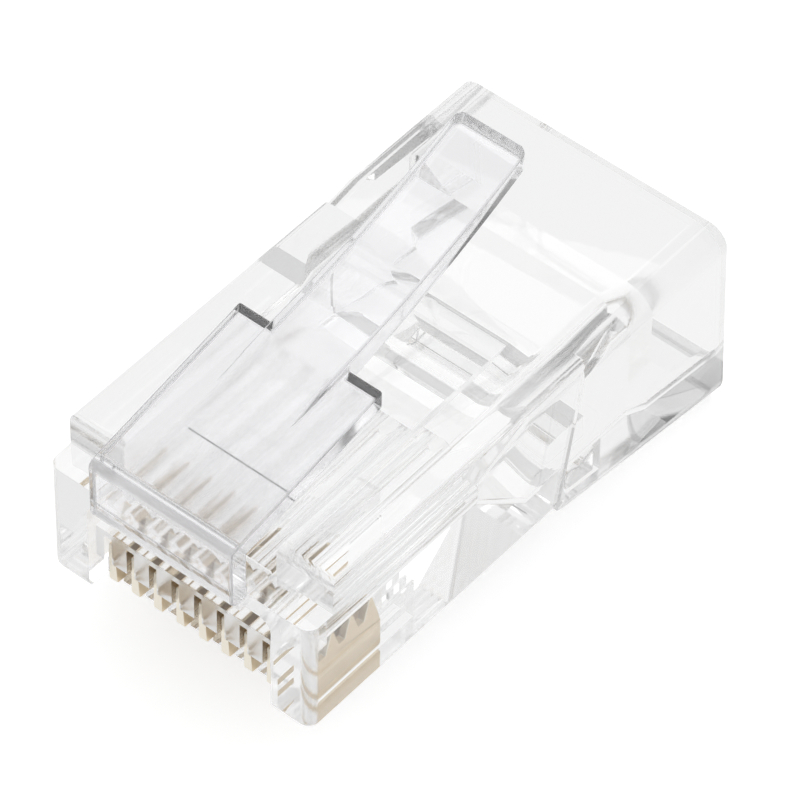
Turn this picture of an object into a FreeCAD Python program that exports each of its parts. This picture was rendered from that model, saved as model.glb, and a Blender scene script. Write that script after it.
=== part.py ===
"""Clear eight-way modular plug, as sold: contacts raised, latch up, no cable fitted.

Millimetres, +X across the plug, +Y from the latch root towards the cable end, +Z up (latch side).
The origin is under the middle of the plug, level with its lowest edge.
Names that end in _y or _z below are counted from the comb's front face and its underside.
"""
import FreeCAD, Part
import os

from FreeCAD import Vector

# Housing, front section
front_width = 11.68
front_height = 6.6
nose_height = 5.15
nose_length = 1.17
front_corner_radius = 0.47
front_edge_radius = 0.25
pad_inner_gap = 6.7
pad_front_radius = 0.35
well_floor_rise = 0.95
well_rear_y = 12.4
well_ramp_length = 0.9

# Housing, cable shroud
shroud_width = 11.92
shroud_start_y = 13.1
shroud_ramp_length = 1.3
shroud_step_drop = 1.0
shroud_rear_drop = 2.15
shroud_top_rise = 0.27
shroud_length = 9.45
rear_face_lean = 0.45
shroud_top_radius = 0.8
shroud_bottom_radius = 1.1
shroud_wall = 0.75

# Inside of the housing
jacket_stop_y = 12.0
jacket_bay_side_margin = 0.344
jacket_bay_height = 4.6
jacket_bay_floor_z = 0.85
bay_edge_radius = 0.5
mouth_start_y = 17.4
mouth_lead_length = 0.9
funnel_length = 2.6
mouth_floor_wall = 2.1
mouth_overrun = 1.0

# Conductor channels and comb
way_count = 8
way_pitch = 1.016
channel_diameter = 1.1
channel_centre_z = 3.55
outlet_rear_y = 1.5
outlet_floor_z = 2.9
channel_corner_share = 0.4
comb_recess_depth = 0.4
comb_recess_side_margin = 0.544
comb_recess_height = 4.4
comb_recess_radius = 0.55
slot_front_height = 2.64
slot_rear_y = 6.2
slot_rear_height = 1.9
rib_step_depth = 0.55
rib_step_height = 1.38

# Contact blades
blade_thickness = 0.3
blade_length = 3.85
blade_front_y = 0.6
blade_parked_z = 0.15
blade_shank_height = 1.3
blade_height = 2.85
blade_edge_radius = 0.15
prong_count = 3
prong_start_y = 1.6
prong_base = 0.7
prong_gap = 0.3
prong_tip = 0.12
prong_depth = 0.95
blade_side_clearance = 0.02
blade_end_clearance = 0.05

# Latch
latch_width = 6.3
latch_thickness = 0.8
latch_root_overhang = 0.87
latch_root_top_z = 7.9
latch_bend_radius = 0.35
hinge_radius = 0.42
hinge_centre_z = 5.5
hinge_clearance = 0.03
hinge_foot_relief = 0.2
shoulder_y = 6.85
shoulder_z = 9.45
tail_width = 3.25
tail_end_width = 3.05
tail_tip_y = 16.4
tail_tip_z = 12.45
tail_sag = 0.3
tail_tip_thickness = 0.8
spine_rise = 0.3
spine_start_y = 4.0
spine_ramp_length = 1.4

# Cable clamp tongue in the underside
clamp_window_start_y = 14.6
clamp_length = 1.7
clamp_width = 6.2
clamp_thickness = 0.9
clamp_clearance = 0.1
clamp_tooth = 0.35
clamp_window_overrun = 0.5

# Where the comb's front face and underside lie in the plug's own frame
shroud_rear_y = shroud_start_y + shroud_length
overall_length = latch_root_overhang + shroud_rear_y
comb_y = latch_root_overhang - overall_length / 2
comb_z = shroud_rear_drop
cut_margin = 5.0
cut_overlap = 0.1
edge_tolerance = 0.1

# Widths that follow the row of conductors
way_row_span = (way_count - 1) * way_pitch
way_row_width = way_row_span + channel_diameter
jacket_bay_width = way_row_width + 2 * jacket_bay_side_margin
comb_recess_width = way_row_span + 2 * comb_recess_side_margin


def at(y, z, x=0.0):
    """Point from the comb's front face and underside."""
    return Vector(x, comb_y + y, comb_z + z)


def slab(profile, width):
    """Solid as wide as asked for, centred across the plug, with this Y-Z outline."""
    points = [at(y, z, -width / 2) for y, z in profile]
    face = Part.Face(Part.makePolygon(points + points[:1]))
    return face.extrude(Vector(width, 0, 0))


def block(width, y_low, y_high, z_low, z_high):
    """Straight block centred across the plug."""
    return slab([(y_low, z_low), (y_high, z_low), (y_high, z_high), (y_low, z_high)], width)


def is_straight(edge):
    return isinstance(edge.Curve, Part.Line)


def edge_way(edge):
    """Unit direction of a straight edge."""
    way = edge.Vertexes[-1].Point - edge.Vertexes[0].Point
    return way.normalize()


def edges_along(shape, axis, keep):
    """Straight edges along an axis whose middle passes a test of its comb-based y, z and x."""
    found = []
    for edge in shape.Edges:
        if not is_straight(edge) or abs(edge_way(edge).dot(axis)) < 0.97:
            continue
        middle = edge.CenterOfMass
        if keep(middle.y - comb_y, middle.z - comb_z, middle.x):
            found.append(edge)
    return found


def shroud_floor_z(y):
    """Height of the shroud's sloping underside."""
    start = shroud_start_y + shroud_ramp_length
    slope = (shroud_rear_drop - shroud_step_drop) / (shroud_rear_y - start)
    return -shroud_step_drop - slope * (y - start)


def front_body():
    """Comb, nose and side pads, with the well under the latch."""
    body = block(front_width, 0, shroud_start_y + shroud_ramp_length, 0, front_height)
    corners = edges_along(body, Vector(0, 0, 1), lambda y, z, x: y < edge_tolerance)
    body = body.makeFillet(front_corner_radius, corners)
    underside = [edge for edge in body.Edges if edge.CenterOfMass.z < comb_z + edge_tolerance
                 and edge.CenterOfMass.y < comb_y + shroud_start_y]
    body = body.makeFillet(front_edge_radius, underside)
    top_edges = edges_along(body, Vector(0, 1, 0), lambda y, z, x: z > front_height - edge_tolerance)
    body = body.makeFillet(front_edge_radius, top_edges)
    return body.cut(nose_relief()).cut(latch_well())


def nose_relief():
    """Space in front of the side pads, above the nose, with the pads' rounded front edge."""
    relief = block(front_width + cut_margin, -cut_margin, nose_length, nose_height, front_height + cut_margin)
    rim = block(front_width + cut_margin, nose_length, nose_length + pad_front_radius,
                front_height - pad_front_radius, front_height + cut_margin)
    round_bar = Part.makeCylinder(pad_front_radius, front_width + 2 * cut_margin,
                                  at(nose_length + pad_front_radius, front_height - pad_front_radius,
                                     -front_width / 2 - cut_margin), Vector(1, 0, 0))
    return relief.fuse(rim.cut(round_bar))


def latch_well():
    """Well between the pads that the latch folds into, with a ramp at its rear."""
    top = front_height + cut_margin
    rear = well_rear_y + well_ramp_length
    floor_end_z = nose_height + well_floor_rise
    return slab([(-cut_margin, nose_height), (nose_length, nose_height), (well_rear_y, floor_end_z),
                 (rear, front_height), (rear, top), (-cut_margin, top)], pad_inner_gap)


def shroud_body():
    """Deeper rear section with sloping underside, leaning rear face and rounded long edges."""
    ramp_end = shroud_start_y + shroud_ramp_length
    top_z = front_height + shroud_top_rise
    outline = [(shroud_start_y, 0), (ramp_end, -shroud_step_drop), (shroud_rear_y, -shroud_rear_drop),
               (shroud_rear_y - rear_face_lean, top_z), (ramp_end + shroud_ramp_length, top_z),
               (ramp_end, front_height)]
    body = slab(outline, shroud_width)
    along = Vector(0, 1, 0)
    low = edges_along(body, along, lambda y, z, x: z < 0 and y > ramp_end)
    body = body.makeFillet(shroud_bottom_radius, low)
    high = edges_along(body, along, lambda y, z, x: z > front_height - edge_tolerance and y > ramp_end)
    return body.makeFillet(shroud_top_radius, high)


def section(y, width, z_low, z_high, radius):
    """Rounded rectangle across the plug, as a wire for a loft."""
    corner = at(y, z_high, -width / 2)
    outline = Part.makePlane(width, z_high - z_low, corner, Vector(0, 1, 0), Vector(1, 0, 0))
    box = outline.extrude(Vector(0, 1, 0))
    box = box.makeFillet(radius, edges_along(box, Vector(0, 1, 0), lambda y_mid, z, x: True))
    end = min(box.Faces, key=lambda face: face.CenterOfMass.y)
    return end.OuterWire


def cable_cavity():
    """Mouth, jacket bay and the funnel that narrows to the conductor channels."""
    bay_top = jacket_bay_floor_z + jacket_bay_height
    mouth_width = shroud_width - 2 * shroud_wall
    mouth_top = front_height + shroud_top_rise - shroud_wall
    lead_end = mouth_start_y + mouth_lead_length
    beyond = shroud_rear_y + mouth_overrun
    mouth_radius = shroud_bottom_radius - shroud_wall / 2
    way_low = channel_centre_z - channel_diameter / 2
    way_high = channel_centre_z + channel_diameter / 2
    way_radius = channel_diameter * channel_corner_share

    def mouth_section(y):
        return section(y, mouth_width, shroud_floor_z(y) + mouth_floor_wall, mouth_top, mouth_radius)

    bay = (jacket_bay_width, jacket_bay_floor_z, bay_top, bay_edge_radius)
    mouth = Part.makeLoft([mouth_section(lead_end), mouth_section(beyond)], True, True)
    lead = Part.makeLoft([section(mouth_start_y, *bay), mouth_section(lead_end)], True, True)
    hall = Part.makeLoft([section(jacket_stop_y, *bay), section(mouth_start_y, *bay)], True, True)
    narrow = section(jacket_stop_y - funnel_length, way_row_width, way_low, way_high, way_radius)
    funnel = Part.makeLoft([narrow, section(jacket_stop_y, *bay)], True, True)
    return mouth.fuse([lead, hall, funnel]).removeSplitter()


def way_x(index):
    """Sideways place of a conductor, contact and slot."""
    return (index - (way_count - 1) / 2) * way_pitch


def conductor_channels():
    """Eight round channels side by side, which run into each other at ribs."""
    start = outlet_rear_y - cut_overlap
    length = jacket_stop_y - funnel_length - start + cut_overlap
    rods = [Part.makeCylinder(channel_diameter / 2, length, at(start, channel_centre_z, way_x(index)),
                              Vector(0, 1, 0))
            for index in range(way_count)]
    return rods[0].fuse(rods[1:])


def comb_recess():
    """Shallow recess in the front face, open below, with the wires' outlet above its ribs."""
    recess = block(comb_recess_width, -cut_margin, comb_recess_depth, -cut_margin, comb_recess_height)
    outlet = block(comb_recess_width, -cut_margin, outlet_rear_y, outlet_floor_z, comb_recess_height)

    def rounded(space):
        corners = edges_along(space, Vector(0, 1, 0), lambda y, z, x: z > comb_recess_height - edge_tolerance)
        return space.makeFillet(comb_recess_radius, corners)

    return rounded(recess).fuse(rounded(outlet))


def rib_step():
    """Space in front of the lower ribs, which stand back so that the blades' front corners are free."""
    return block(comb_recess_width, -cut_margin, comb_recess_depth + rib_step_depth, -cut_margin,
                 rib_step_height)


def contact_slots():
    """Eight slots, open to the front and below, that guide the contact blades into the channels."""
    width = blade_thickness + 2 * blade_side_clearance
    rear = blade_front_y + blade_length + blade_end_clearance
    pocket_front = prong_start_y - blade_end_clearance
    slots = []
    for index in range(way_count):
        profile = [(-cut_margin, -cut_margin), (slot_rear_y, -cut_margin), (slot_rear_y, slot_rear_height),
                   (rear, slot_rear_height), (rear, channel_centre_z), (pocket_front, channel_centre_z),
                   (pocket_front, slot_front_height), (-cut_margin, slot_front_height)]
        slot = slab(profile, width)
        slot.translate(Vector(way_x(index), 0, 0))
        slots.append(slot)
    return slots


def hinge_y():
    """The latch bends about this line, just ahead of the comb."""
    return -latch_root_overhang + hinge_radius


def hinge_foot():
    """Lip along the nose's front edge, with the hollow seat that carries the latch's bending line."""
    lip_z = hinge_centre_z - hinge_foot_relief
    foot = block(latch_width, hinge_y(), nose_length, nose_height - hinge_radius, lip_z)
    seat = Part.makeCylinder(hinge_radius + hinge_clearance, latch_width + 2 * cut_overlap,
                             at(hinge_y(), hinge_centre_z, -latch_width / 2 - cut_overlap), Vector(1, 0, 0))
    return foot.cut(seat)


def clamp_pivot():
    """Y and Z of the line that the clamp tongue folds about."""
    y = clamp_window_start_y + clamp_thickness / 2
    return y, shroud_floor_z(y) + clamp_thickness / 2


def clamp_window():
    """Window through the underside for the clamp tongue, with a rounded seat at its front."""
    y, z = clamp_pivot()
    end = clamp_window_start_y + clamp_length + 2 * clamp_clearance
    width = clamp_width + 2 * clamp_clearance
    top = jacket_bay_floor_z + clamp_window_overrun
    window = block(width, y, end, z - cut_margin, top)
    seat_radius = clamp_thickness / 2 + clamp_clearance
    seat = Part.makeCylinder(seat_radius, width, at(y, z, -width / 2), Vector(1, 0, 0))
    lead = block(width, y - seat_radius, y + cut_overlap, z, top)
    return window.fuse([seat, lead])


def housing():
    """The clear moulding, without the pieces that bend out of it."""
    body = front_body().fuse([shroud_body(), hinge_foot()])
    hollows = [cable_cavity(), conductor_channels(), comb_recess(), rib_step(), clamp_window()]
    for hollow in hollows + contact_slots():
        body = body.cut(hollow)
    return body.removeSplitter()


def spine_top_z(y):
    """Height of the latch plate's upper face ahead of the shoulders."""
    slope = (shoulder_z - latch_root_top_z) / (shoulder_y + latch_root_overhang)
    return latch_root_top_z + slope * (y + latch_root_overhang)


def latch_plate():
    """Root wall and wide plate of the latch, one bent strip of even thickness."""
    front = -latch_root_overhang
    outline = [(front, hinge_centre_z), (front, latch_root_top_z), (shoulder_y, shoulder_z),
               (shoulder_y, shoulder_z - latch_thickness),
               (front + latch_thickness, spine_top_z(front + latch_thickness) - latch_thickness),
               (front + latch_thickness, hinge_centre_z)]
    plate = slab(outline, latch_width)
    bend = edges_along(plate, Vector(1, 0, 0),
                       lambda y, z, x: y < front + edge_tolerance and z > latch_root_top_z - edge_tolerance)
    plate = plate.makeFillet(latch_bend_radius, bend)
    barrel = Part.makeCylinder(hinge_radius, latch_width, at(hinge_y(), hinge_centre_z, -latch_width / 2),
                               Vector(1, 0, 0))
    return plate.fuse(barrel)


def latch_tail():
    """Narrow finger tab, rising in a slow curve, with the ramp where it leaves the plate."""
    ramp_end = spine_start_y + spine_ramp_length
    middle_y = (shoulder_y + tail_tip_y) / 2
    middle_z = (shoulder_z + tail_tip_z) / 2 + spine_rise / 2 - tail_sag
    root_low, tip_low = -(latch_thickness + spine_rise), -tail_tip_thickness
    half = -tail_width / 2

    def arc(rise_start, rise_end):
        points = [at(shoulder_y, shoulder_z + spine_rise + rise_start, half),
                  at(middle_y, middle_z + (rise_start + rise_end) / 2, half),
                  at(tail_tip_y, tail_tip_z + rise_end, half)]
        return Part.Arc(*points).toShape()

    top, under = arc(0, 0), arc(root_low, tip_low)
    start = at(spine_start_y, spine_top_z(spine_start_y), half)
    crest = at(ramp_end, spine_top_z(ramp_end) + spine_rise, half)
    heel = at(ramp_end, spine_top_z(ramp_end) + spine_rise + root_low, half)
    edges = [Part.makeLine(start, crest), Part.makeLine(crest, top.Vertexes[0].Point), top,
             Part.makeLine(top.Vertexes[-1].Point, under.Vertexes[-1].Point), under,
             Part.makeLine(under.Vertexes[0].Point, heel), Part.makeLine(heel, start)]
    tail = Part.Face(Part.Wire(Part.__sortEdges__(edges))).extrude(Vector(tail_width, 0, 0))
    return tail.common(tail_plan())


def tail_plan():
    """Plan outline of the tail, a little narrower at its tip, with rounded tip corners."""
    low, high = comb_z, comb_z + tail_tip_z + cut_margin
    half, end_half = tail_width / 2, tail_end_width / 2
    sides = [(-half, spine_start_y), (half, spine_start_y), (half, shoulder_y), (end_half, tail_tip_y),
             (-end_half, tail_tip_y), (-half, shoulder_y)]
    points = [Vector(x, comb_y + y, low) for x, y in sides]
    plan = Part.Face(Part.makePolygon(points + points[:1])).extrude(Vector(0, 0, high - low))
    tips = edges_along(plan, Vector(0, 0, 1), lambda y, z, x: y > tail_tip_y - edge_tolerance)
    return plan.makeFillet(latch_bend_radius, tips)


def latch_tab():
    """Latch: root wall, wide plate with its two shoulders, and finger tail."""
    return latch_plate().fuse(latch_tail()).removeSplitter()


def strain_relief_bar():
    """Tongue that the crimping tool folds in against the cable's jacket."""
    y, z = clamp_pivot()
    end = clamp_window_start_y + clamp_length
    half = clamp_thickness / 2
    slope = shroud_floor_z(end) - shroud_floor_z(y)
    tongue = slab([(y, z - half), (end, z - half + slope), (end, z + half + slope + clamp_tooth),
                   (end - clamp_thickness, z + half + slope), (y, z + half)], clamp_width)
    knuckle = Part.makeCylinder(half, clamp_width, at(y, z, -clamp_width / 2), Vector(1, 0, 0))
    return tongue.fuse(knuckle).removeSplitter()


def contact_blade(index):
    """Gold-plated blade: smooth rounded contact edge below, three piercing prongs above."""
    front, rear = blade_front_y, blade_front_y + blade_length
    shank_top = blade_parked_z + blade_shank_height
    root_z = blade_parked_z + blade_height - prong_depth
    tip_z = blade_parked_z + blade_height
    profile = [(front, blade_parked_z), (rear, blade_parked_z), (rear, shank_top)]
    comb = [(front, root_z)]
    for prong in range(prong_count):
        low = prong_start_y + prong * (prong_base + prong_gap)
        side = (prong_base - prong_tip) / 2
        comb += [(low, root_z), (low + side, tip_z), (low + side + prong_tip, tip_z),
                 (low + prong_base, root_z)]
    profile += list(reversed(comb))
    blade = slab(profile, blade_thickness)
    lower = edges_along(blade, Vector(1, 0, 0), lambda y, z, x: z < blade_parked_z + edge_tolerance)
    blade = blade.makeFillet(blade_edge_radius, lower)
    blade.translate(Vector(way_x(index), 0, 0))
    return blade


def main():
    os.makedirs("parts", exist_ok=True)
    shapes = {"housing": housing(), "latch_tab": latch_tab(), "strain_relief_bar": strain_relief_bar()}
    for index in range(way_count):
        shapes[f"contact_{index + 1}"] = contact_blade(index)
    for name, shape in shapes.items():
        shape.exportStep(f"parts/{name}.step")
        box = shape.BoundBox
        print(f"{name}: {len(shape.Solids)} solid, valid {shape.isValid()}, {shape.Volume:.2f} mm3, "
              f"y {box.YMin:.2f} to {box.YMax:.2f}, z {box.ZMin:.2f} to {box.ZMax:.2f}")


main()
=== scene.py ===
from math import cos, radians, sin

import bmesh
import bpy
from mathutils import Matrix, Vector
from mathutils.bvhtree import BVHTree


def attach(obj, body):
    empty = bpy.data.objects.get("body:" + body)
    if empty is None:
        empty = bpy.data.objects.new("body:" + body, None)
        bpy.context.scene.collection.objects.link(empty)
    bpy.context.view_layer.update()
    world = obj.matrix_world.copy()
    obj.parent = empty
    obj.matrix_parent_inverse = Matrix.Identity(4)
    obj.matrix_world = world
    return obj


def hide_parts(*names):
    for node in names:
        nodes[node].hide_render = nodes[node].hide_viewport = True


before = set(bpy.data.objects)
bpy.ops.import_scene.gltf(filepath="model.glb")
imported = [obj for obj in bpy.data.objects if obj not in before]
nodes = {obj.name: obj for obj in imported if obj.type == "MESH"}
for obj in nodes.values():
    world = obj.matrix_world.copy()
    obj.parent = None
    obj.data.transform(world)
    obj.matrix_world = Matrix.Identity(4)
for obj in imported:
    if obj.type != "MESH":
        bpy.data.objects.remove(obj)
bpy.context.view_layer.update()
stage = bpy.context.scene
print("frame loaded:", len(nodes), "nodes")


# a socket that takes part in sums
class Link:
    def __init__(self, tree, socket):
        self.tree, self.socket = tree, socket

    def sum(self, operation, first, second):
        return addNode(self.tree, "ShaderNodeMath", {"operation": operation}, {0: first, 1: second})

    def __add__(self, other): return self.sum("ADD", self, other)
    def __radd__(self, other): return self.sum("ADD", other, self)
    def __mul__(self, other): return self.sum("MULTIPLY", self, other)
    def __rmul__(self, other): return self.sum("MULTIPLY", other, self)
    def __gt__(self, other): return self.sum("GREATER_THAN", self, other)
    def __lt__(self, other): return self.sum("LESS_THAN", self, other)


def addNode(tree, kind, settings=None, values=None, output=0):
    node = tree.nodes.new(kind)
    for name, value in (settings or {}).items():
        setattr(node, name, value)
    for name, value in (values or {}).items():
        if isinstance(value, Link):
            tree.links.new(value.socket, node.inputs[name])
        else:
            node.inputs[name].default_value = value
    return Link(tree, node.outputs[output]) if node.outputs else node


def faceMark(tree, name):
    # the amount that a face carries, 0 to 1
    return addNode(tree, "ShaderNodeAttribute", {"attribute_name": name}, None, "Fac")


def newMaterial(name):
    material = bpy.data.materials.new(name)
    material.use_nodes = True
    material.node_tree.nodes.clear()
    return material, material.node_tree


# camera, fitted to the photo
camera = {"azimuth": 39.578, "elevation": 48.181, "roll": 0.727, "distance": 0.207908,
          "target": (0.0, -0.00084, 0.00515), "focalPixels": 6027.686, "principal": (369.894, 421.225),
          "imageSize": 800, "sensorWidth": 36, "clip": (0.01, 10)}


def addCamera(c):
    az, el, roll = radians(c["azimuth"]), radians(c["elevation"]), radians(c["roll"])
    back = Vector((sin(az) * cos(el), -cos(az) * cos(el), sin(el)))
    level = Vector((cos(az), sin(az), 0))
    rise = back.cross(level)
    right = cos(roll) * level + sin(roll) * rise
    up = cos(roll) * rise - sin(roll) * level
    eye = Vector(c["target"]) + back * c["distance"]
    half = c["imageSize"] / 2
    # aimed along the ray through the middle of the picture, so that no shift is needed
    offX = (half - c["principal"][0]) / c["focalPixels"]
    offY = (c["principal"][1] - half) / c["focalPixels"]
    aim = (-back + right * offX + up * offY).normalized()
    side = (right - aim * right.dot(aim)).normalized()
    turn = Matrix((side, side.cross(aim), -aim)).transposed().to_4x4()
    data = bpy.data.cameras.new("photoCamera")
    data.sensor_width = c["sensorWidth"]
    data.lens = c["focalPixels"] / c["imageSize"] * c["sensorWidth"]
    data.clip_start, data.clip_end = c["clip"]
    obj = bpy.data.objects.new("photoCamera", data)
    stage.collection.objects.link(obj)
    obj.matrix_world = Matrix.Translation(eye) @ turn
    stage.camera = obj


addCamera(camera)
print("camera set")

# studio: a pale table that also lights clear pieces from below, and a white room with darker places
studio = {"floorSize": 0.16, "floorColour": (0.62, 0.62, 0.62, 1), "floorLift": 0.66,
          "seenThrough": 0.915, "roomStrength": 1.0, "backdrop": (1, 1, 1, 1), "bounces": 64}
darkPlaces = {
    "aboveLeft": {"way": (-0.42, 0.02, 0.90), "from": 0.95, "to": 0.985, "keep": 0.08},
    "lowFrontLeft": {"way": (-0.43, -0.90, -0.04), "from": 0.90, "to": 0.96, "keep": 0.05},
    "cameraSide": {"way": (0.425, -0.514, 0.745), "from": 0.55, "to": 0.90, "keep": 0.85}}
lamps = {"overhead": {"at": (-0.12, 0.10, 0.40), "size": 0.30, "power": 0.25},
         "side": {"at": (0.32, 0.05, 0.16), "size": 0.20, "power": 0.08}}


def lightPath(tree, *kinds):
    # 1 where a ray is one of these kinds
    outputs = addNode(tree, "ShaderNodeLightPath").socket.node.outputs
    found = Link(tree, outputs[kinds[0]])
    for kind in kinds[1:]:
        found = found.sum("MAXIMUM", found, Link(tree, outputs[kind]))
    return found


def addFloor(s):
    mesh = bmesh.new()
    bmesh.ops.create_grid(mesh, x_segments=1, y_segments=1, size=s["floorSize"])
    data = bpy.data.meshes.new("floor")
    mesh.to_mesh(data)
    mesh.free()
    floor = bpy.data.objects.new("floor", data)
    stage.collection.objects.link(floor)
    material, tree = newMaterial("whiteTable")
    diffuse = addNode(tree, "ShaderNodeBsdfDiffuse", None, {"Color": s["floorColour"]})
    lift = lightPath(tree, "Is Camera Ray") * s["floorLift"]
    glow = addNode(tree, "ShaderNodeEmission", None, {"Strength": lift})
    lit = addNode(tree, "ShaderNodeAddShader", None, {0: diffuse, 1: glow})
    below = addNode(tree, "ShaderNodeEmission", None, {"Strength": s["seenThrough"]})
    through = lightPath(tree, "Is Glossy Ray", "Is Transmission Ray")
    both = addNode(tree, "ShaderNodeMixShader", None, {0: through, 1: lit, 2: below})
    addNode(tree, "ShaderNodeOutputMaterial", None, {"Surface": both})
    data.materials.append(material)


def addRoom(s, places):
    world = bpy.data.worlds.new("room")
    world.use_nodes = True
    tree = world.node_tree
    tree.nodes.clear()
    way = addNode(tree, "ShaderNodeTexCoord", None, None, "Generated")
    strength = s["roomStrength"]
    for place in places.values():
        middle = Vector(place["way"]).normalized()
        toward = addNode(tree, "ShaderNodeVectorMath", {"operation": "DOT_PRODUCT"},
                         {0: way, 1: middle}, "Value")
        kept = addNode(tree, "ShaderNodeMapRange", {"interpolation_type": "SMOOTHSTEP"}, {
            "Value": toward, "From Min": place["from"], "From Max": place["to"],
            "To Min": 1.0, "To Max": place["keep"]})
        strength = kept * strength
    light = addNode(tree, "ShaderNodeBackground", None, {"Strength": strength})
    backdrop = addNode(tree, "ShaderNodeBackground", None, {"Color": s["backdrop"], "Strength": 1.0})
    seen = lightPath(tree, "Is Camera Ray")
    mixed = addNode(tree, "ShaderNodeMixShader", None, {0: seen, 1: light, 2: backdrop})
    addNode(tree, "ShaderNodeOutputWorld", None, {"Surface": mixed})
    stage.world = world


def addLamp(name, lamp):
    data = bpy.data.lights.new(name, "AREA")
    data.size, data.energy = lamp["size"], lamp["power"]
    obj = bpy.data.objects.new(name, data)
    stage.collection.objects.link(obj)
    place = Vector(lamp["at"])
    obj.matrix_world = Matrix.Translation(place) @ place.to_track_quat("Z", "Y").to_matrix().to_4x4()


addFloor(studio)
addRoom(studio, darkPlaces)
for name, lamp in lamps.items():
    addLamp(name, lamp)
stage.view_settings.view_transform = "Standard"
stage.cycles.max_bounces = studio["bounces"]
stage.cycles.transmission_bounces = studio["bounces"]
stage.cycles.glossy_bounces = studio["bounces"]
print("studio set")

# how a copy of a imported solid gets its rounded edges: lengths in metres, angles in degrees
skin = {"merge": 2e-7, "flatBelow": 0.6, "roundOver": 28, "segments": 2, "sharpOver": 17,
        "edgeMatt": 0.9, "snap": 1e-8, "sliver": 1e-6, "normalWeight": 50}
# a face that looks at another wall of its own piece is inside
inside = {"matt": 0.3, "gapOver": 0.0006, "before": -0.0012, "lift": 1e-6}
# how far a face has to point one way
facing = {"slight": 0.15, "side": 0.3, "half": 0.5, "mostly": 0.7, "full": 0.9}


# every face that passes the test gets the amount: the test sees the face's middle and its direction
def markFaces(mesh, name, amount, test):
    layer = mesh.faces.layers.float[name]
    for face in mesh.faces:
        if test(face.calc_center_median(), face.normal):
            face[layer] = amount


def markInside(mesh):
    tree = BVHTree.FromBMesh(mesh)

    def looksInside(at, way):
        hit, _, _, distance = tree.ray_cast(at + way * inside["lift"], way)
        return hit and distance > inside["gapOver"] and at.y < inside["before"]

    markFaces(mesh, "matt", inside["matt"], looksInside)


def cutAcross(mesh, place, way):
    everything = list(mesh.verts) + list(mesh.edges) + list(mesh.faces)
    bmesh.ops.bisect_plane(mesh, geom=everything, dist=skin["snap"], plane_co=place, plane_no=way)


def roundedCopy(name, piece, material, mark, before=None, after=None):
    source = nodes[name]
    mesh = bmesh.new()
    mesh.from_mesh(source.data)
    # each face carries a roughness mark and a painted light mark: painted shade on the clear plastic,
    # painted highlight on the gold
    for layer in ("matt", "paintedLight"):
        mesh.faces.layers.float.new(layer)
    bmesh.ops.remove_doubles(mesh, verts=mesh.verts, dist=skin["merge"])
    bmesh.ops.dissolve_limit(mesh, angle_limit=radians(skin["flatBelow"]), verts=mesh.verts,
                             edges=mesh.edges)
    if before:
        before(mesh)
    edges = [e for e in mesh.edges
             if len(e.link_faces) == 2 and e.calc_face_angle() > radians(skin["roundOver"])]
    made = bmesh.ops.bevel(mesh, geom=edges, offset=piece["edgeRound"], offset_type="OFFSET",
                           segments=skin["segments"], profile=0.5, affect="EDGES", clamp_overlap=True,
                           material=-1)
    if piece["slivers"]:
        # the bevel leaves a few faces of no width
        bmesh.ops.dissolve_degenerate(mesh, dist=skin["sliver"], edges=mesh.edges)
    mesh.normal_update()
    markInside(mesh)
    mark(mesh)
    matt = mesh.faces.layers.float["matt"]
    for face in made["faces"]:
        if face.is_valid:
            face[matt] = skin["edgeMatt"]
    if after:
        after(mesh)
    data = bpy.data.meshes.new(name + "_dressed")
    mesh.to_mesh(data)
    mesh.free()
    data.shade_smooth()
    data.set_sharp_from_angle(angle=radians(skin["sharpOver"]))
    data.materials.append(material)
    obj = bpy.data.objects.new(name + "_dressed", data)
    stage.collection.objects.link(obj)
    flat = obj.modifiers.new("flatFaces", "WEIGHTED_NORMAL")
    flat.mode, flat.weight, flat.keep_sharp = "FACE_AREA", skin["normalWeight"], True
    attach(obj, name)
    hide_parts(name)


# clear polycarbonate: polished, with a faint flow ripple, and a near-black shader that is mixed in as
# painted shade
clear = {"index": 1.586, "ripple": 0.02, "rippleScale": 420.0, "rippleDetail": 2.0, "bump": 0.02,
         "bumpDepth": 0.0001, "mattRoughness": 0.4, "paintedShade": (0.02, 0.02, 0.025, 1), "paintedShadeRoughness": 0.2}


def clearPlastic(name, piece):
    material, tree = newMaterial(name)
    place = addNode(tree, "ShaderNodeTexCoord", None, None, "Object")
    ripple = addNode(tree, "ShaderNodeTexNoise", None, {
        "Vector": place, "Scale": clear["rippleScale"], "Detail": clear["rippleDetail"]})
    bump = addNode(tree, "ShaderNodeBump", None, {
        "Strength": clear["bump"], "Distance": clear["bumpDepth"], "Height": ripple})
    matt = faceMark(tree, "matt") * clear["mattRoughness"]
    shader = addNode(tree, "ShaderNodeBsdfPrincipled", None, {
        "Base Color": piece["tint"], "IOR": clear["index"], "Transmission Weight": 1.0,
        "Roughness": ripple * clear["ripple"] + matt + piece["roughness"], "Normal": bump})
    paintedShade = addNode(tree, "ShaderNodeBsdfPrincipled", None, {
        "Base Color": clear["paintedShade"], "Roughness": clear["paintedShadeRoughness"]})
    # painted shade: the near-black shader is mixed into the rim of the thick bottom wall at the mouth as a
    # darker band, and into faces marked with painted shade
    spread = addNode(tree, "ShaderNodeSeparateXYZ", None, {0: place}).socket.node.outputs
    behind, below = Link(tree, spread[1]) > piece["rimFrom"], piece["rimBelow"] > Link(tree, spread[2])
    paintedShadeAmount = behind * below * piece["rimPaintedShade"] + faceMark(tree, "paintedLight")
    mixed = addNode(tree, "ShaderNodeMixShader", None, {0: paintedShadeAmount, 1: shader, 2: paintedShade})
    addNode(tree, "ShaderNodeOutputMaterial", None, {"Surface": mixed})
    return material


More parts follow.
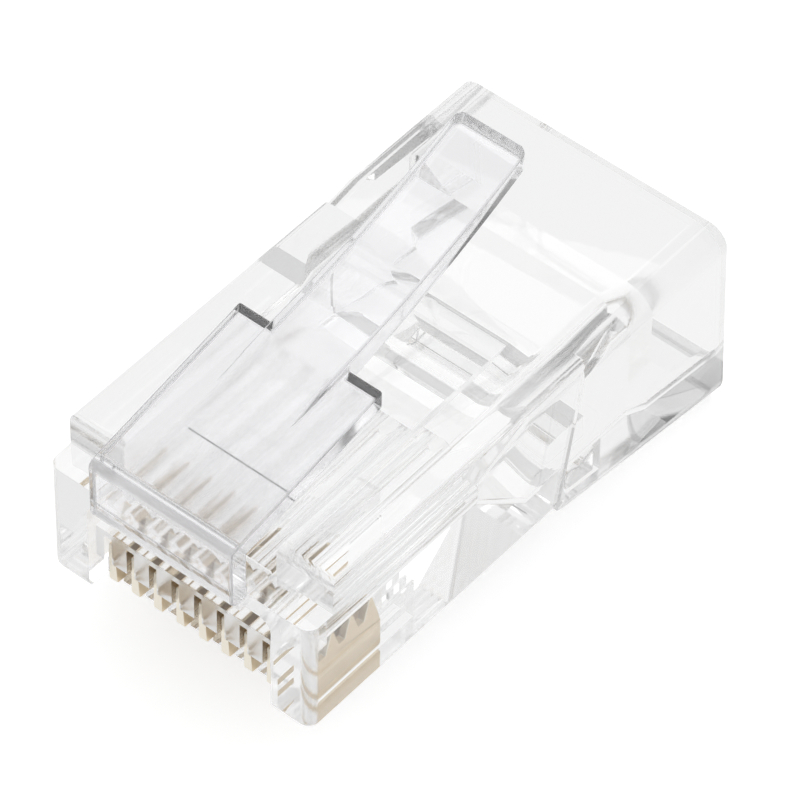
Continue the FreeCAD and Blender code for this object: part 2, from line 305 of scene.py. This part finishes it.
# housing: comb with frosted rib fronts, side pads, clear shroud with a window for the strain relief bar
housing = {"edgeRound": 0.00006, "slivers": False, "tint": (0.99, 0.99, 0.99, 1), "roughness": 0.008,
           # painted shade: a darker band at the rim of the mouth's bottom wall
           "rimFrom": 0.01155, "rimBelow": 0.0021, "rimPaintedShade": 0.25,
           "lowCornerMatt": 0.5, "lowCornerFrom": 0.0025, "frontCornerMatt": 0.5, "frontCornerFrom": 0.005,
           "ribMatt": 0.7, "ribHalf": 0.0041, "ribFrom": -0.0106, "ribTo": -0.0102,
           "windowMatt": 0.1, "windowHalf": 0.00325, "windowFrom": 0.0033, "windowTo": 0.006,
           "windowTop": 0.00295}


def markHousing(mesh):
    p, slight = housing, facing["slight"]
    markFaces(mesh, "matt", p["lowCornerMatt"], lambda at, way: (
        way.z < -slight and abs(way.x) > slight and at.y > p["lowCornerFrom"]))
    markFaces(mesh, "matt", p["frontCornerMatt"], lambda at, way: (
        abs(way.z) < facing["side"] and abs(way.x) > slight and way.y < -slight
        and abs(at.x) > p["frontCornerFrom"]))
    markFaces(mesh, "matt", p["ribMatt"], lambda at, way: (
        way.y < -facing["mostly"] and abs(at.x) < p["ribHalf"] and p["ribFrom"] < at.y < p["ribTo"]))
    markFaces(mesh, "matt", p["windowMatt"], lambda at, way: (
        abs(at.x) < p["windowHalf"] and p["windowFrom"] < at.y < p["windowTo"] and at.z < p["windowTop"]))


# latch: plate whose two shoulders get painted shade on their rear faces, finger tail, fine groove across
# the plate's underside with a painted shade line along it
latch = {"edgeRound": 0.00008, "slivers": True, "tint": (0.975, 0.973, 0.988, 1), "roughness": 0.01,
         "rimFrom": 1.0, "rimBelow": 0.0, "rimPaintedShade": 0.0,
         "underMatt": 0.35, "underBefore": -0.004, "bendMatt": 0.8, "bendBefore": -0.0111,
         "bendAbove": 0.0095, "tailMatt": 0.05, "tailFrom": -0.0035,
         "shoulderPaintedShade": 0.85, "shoulderAt": -0.00399, "shoulderReach": 0.0003,
         "grooveAt": -0.00844, "grooveWidth": 0.00006, "grooveDepth": 0.00003, "grooveFrom": -0.0015,
         "grooveTo": 0.003, "groovePaintedShade": 0.6, "grooveReach": 1e-6}


def markLatch(mesh):
    p, half = latch, facing["half"]
    markFaces(mesh, "matt", p["underMatt"], lambda at, way: way.z < -half and at.y < p["underBefore"])
    markFaces(mesh, "matt", p["bendMatt"], lambda at, way: (
        at.y < p["bendBefore"] and at.z > p["bendAbove"]))
    markFaces(mesh, "matt", p["tailMatt"], lambda at, way: abs(way.z) < half and at.y > p["tailFrom"])
    # painted shade: the shoulders' rear faces are marked to show near-black
    markFaces(mesh, "paintedLight", p["shoulderPaintedShade"], lambda at, way: (
        way.y > facing["full"] and abs(at.y - p["shoulderAt"]) < p["shoulderReach"]))


def latchGroove(mesh):
    p, reach = latch, latch["grooveReach"]
    for step in (-0.5, 0.0, 0.5):
        cutAcross(mesh, (0, p["grooveAt"] + step * p["grooveWidth"], 0), (0, 1, 0))
    for end in (p["grooveFrom"], p["grooveTo"]):
        cutAcross(mesh, (end, 0, 0), (1, 0, 0))
    row = [v for v in mesh.verts if abs(v.co.y - p["grooveAt"]) < reach
           and p["grooveFrom"] - reach <= v.co.x <= p["grooveTo"] + reach]
    level = sum(v.co.z for v in row) / len(row)
    for vert in row:
        if vert.co.z < level:
            vert.co.z += p["grooveDepth"]
    mesh.normal_update()
    # painted shade: the groove's underside faces are marked dark, as a thin dark line
    markFaces(mesh, "paintedLight", p["groovePaintedShade"], lambda at, way: (
        abs(at.y - p["grooveAt"]) < p["grooveWidth"] / 2 and p["grooveFrom"] < at.x < p["grooveTo"]
        and way.z < 0))


# strain relief bar
reliefBar = {"edgeRound": 0.00008, "slivers": True, "matt": 0.1}


def markReliefBar(mesh):
    markFaces(mesh, "matt", reliefBar["matt"], lambda at, way: True)


# contact blades: gold plated, with a painted highlight that makes their front edges paler; the lower part
# grips the plastic on both sides
blade = {"edgeRound": 0.00003, "slivers": True,
         "side": (0.83, 0.70, 0.51, 1), "front": (0.92, 0.87, 0.76, 1),
         "roughness": 0.3, "grain": 0.2, "grainScale": 2600.0, "grainDetail": 3.0,
         "gripTop": 0.00353, "gripBlend": 0.00003, "gripHalf": 0.000176}


def goldPlate(name, piece):
    material, tree = newMaterial(name)
    place = addNode(tree, "ShaderNodeTexCoord", None, None, "Object")
    grain = addNode(tree, "ShaderNodeTexNoise", None, {
        "Vector": place, "Scale": piece["grainScale"], "Detail": piece["grainDetail"]})
    # painted highlight: faces marked on the front take the paler gold
    goldWithPaintedHighlight = addNode(tree, "ShaderNodeMix", {"data_type": "RGBA"}, {
        0: faceMark(tree, "paintedLight"), 6: piece["side"], 7: piece["front"]}, 2)
    shader = addNode(tree, "ShaderNodeBsdfPrincipled", None, {
        "Base Color": goldWithPaintedHighlight, "Metallic": 1.0, "Roughness": grain * piece["grain"] + piece["roughness"]})
    addNode(tree, "ShaderNodeOutputMaterial", None, {"Surface": shader})
    return material


def markBlade(mesh):
    # painted highlight: the front faces are marked for the paler gold
    markFaces(mesh, "paintedLight", 1.0, lambda at, way: way.y < -facing["side"])


def bladeGrip(mesh):
    p = blade
    for height in (p["gripTop"], p["gripTop"] + p["gripBlend"]):
        cutAcross(mesh, (0, 0, height), (0, 0, 1))
    middle = sum(v.co.x for v in mesh.verts) / len(mesh.verts)
    for vert in mesh.verts:
        if vert.co.z < p["gripTop"] + p["gripBlend"] / 2:
            vert.co.x = middle + (p["gripHalf"] if vert.co.x > middle else -p["gripHalf"])


clearHousing = clearPlastic("clearPlastic", housing)
clearLatch = clearPlastic("clearLatchPlastic", latch)
plated = goldPlate("goldPlate", blade)
print("materials set")

for name in nodes:
    if name == "housing":
        roundedCopy(name, housing, clearHousing, markHousing)
    elif name == "latch_tab":
        roundedCopy(name, latch, clearLatch, markLatch, after=latchGroove)
    elif name == "strain_relief_bar":
        roundedCopy(name, reliefBar, clearHousing, markReliefBar)
    else:
        roundedCopy(name, blade, plated, markBlade, before=bladeGrip)
print("pieces made")
